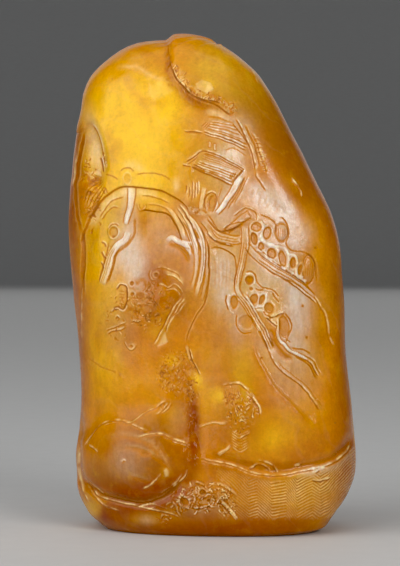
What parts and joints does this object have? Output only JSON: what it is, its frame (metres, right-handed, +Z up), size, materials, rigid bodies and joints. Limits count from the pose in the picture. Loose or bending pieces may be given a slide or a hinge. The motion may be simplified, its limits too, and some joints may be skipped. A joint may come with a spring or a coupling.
{
  "type": "soapstone boulder carving",
  "caption": "Upright boulder of honey-yellow soapstone, carved in thin relief with hall roofs, pines, rocks and water, standing on a flat underside.",
  "frame": {"origin": "centre of the underside, on the surface that the stone stands on", "axes": "+Z up; the carved face looks along -Y; +X is to the right as seen from the carved face"},
  "size_m": [0.0571, 0.0416, 0.0985],
  "materials": {
    "soapstone": "waxy hand polish, slightly translucent, honey yellow with amber and cream clouds"
  },
  "bodies": {
    "root": {"carved_boulder": "soapstone"}
  },
  "joints": []
}
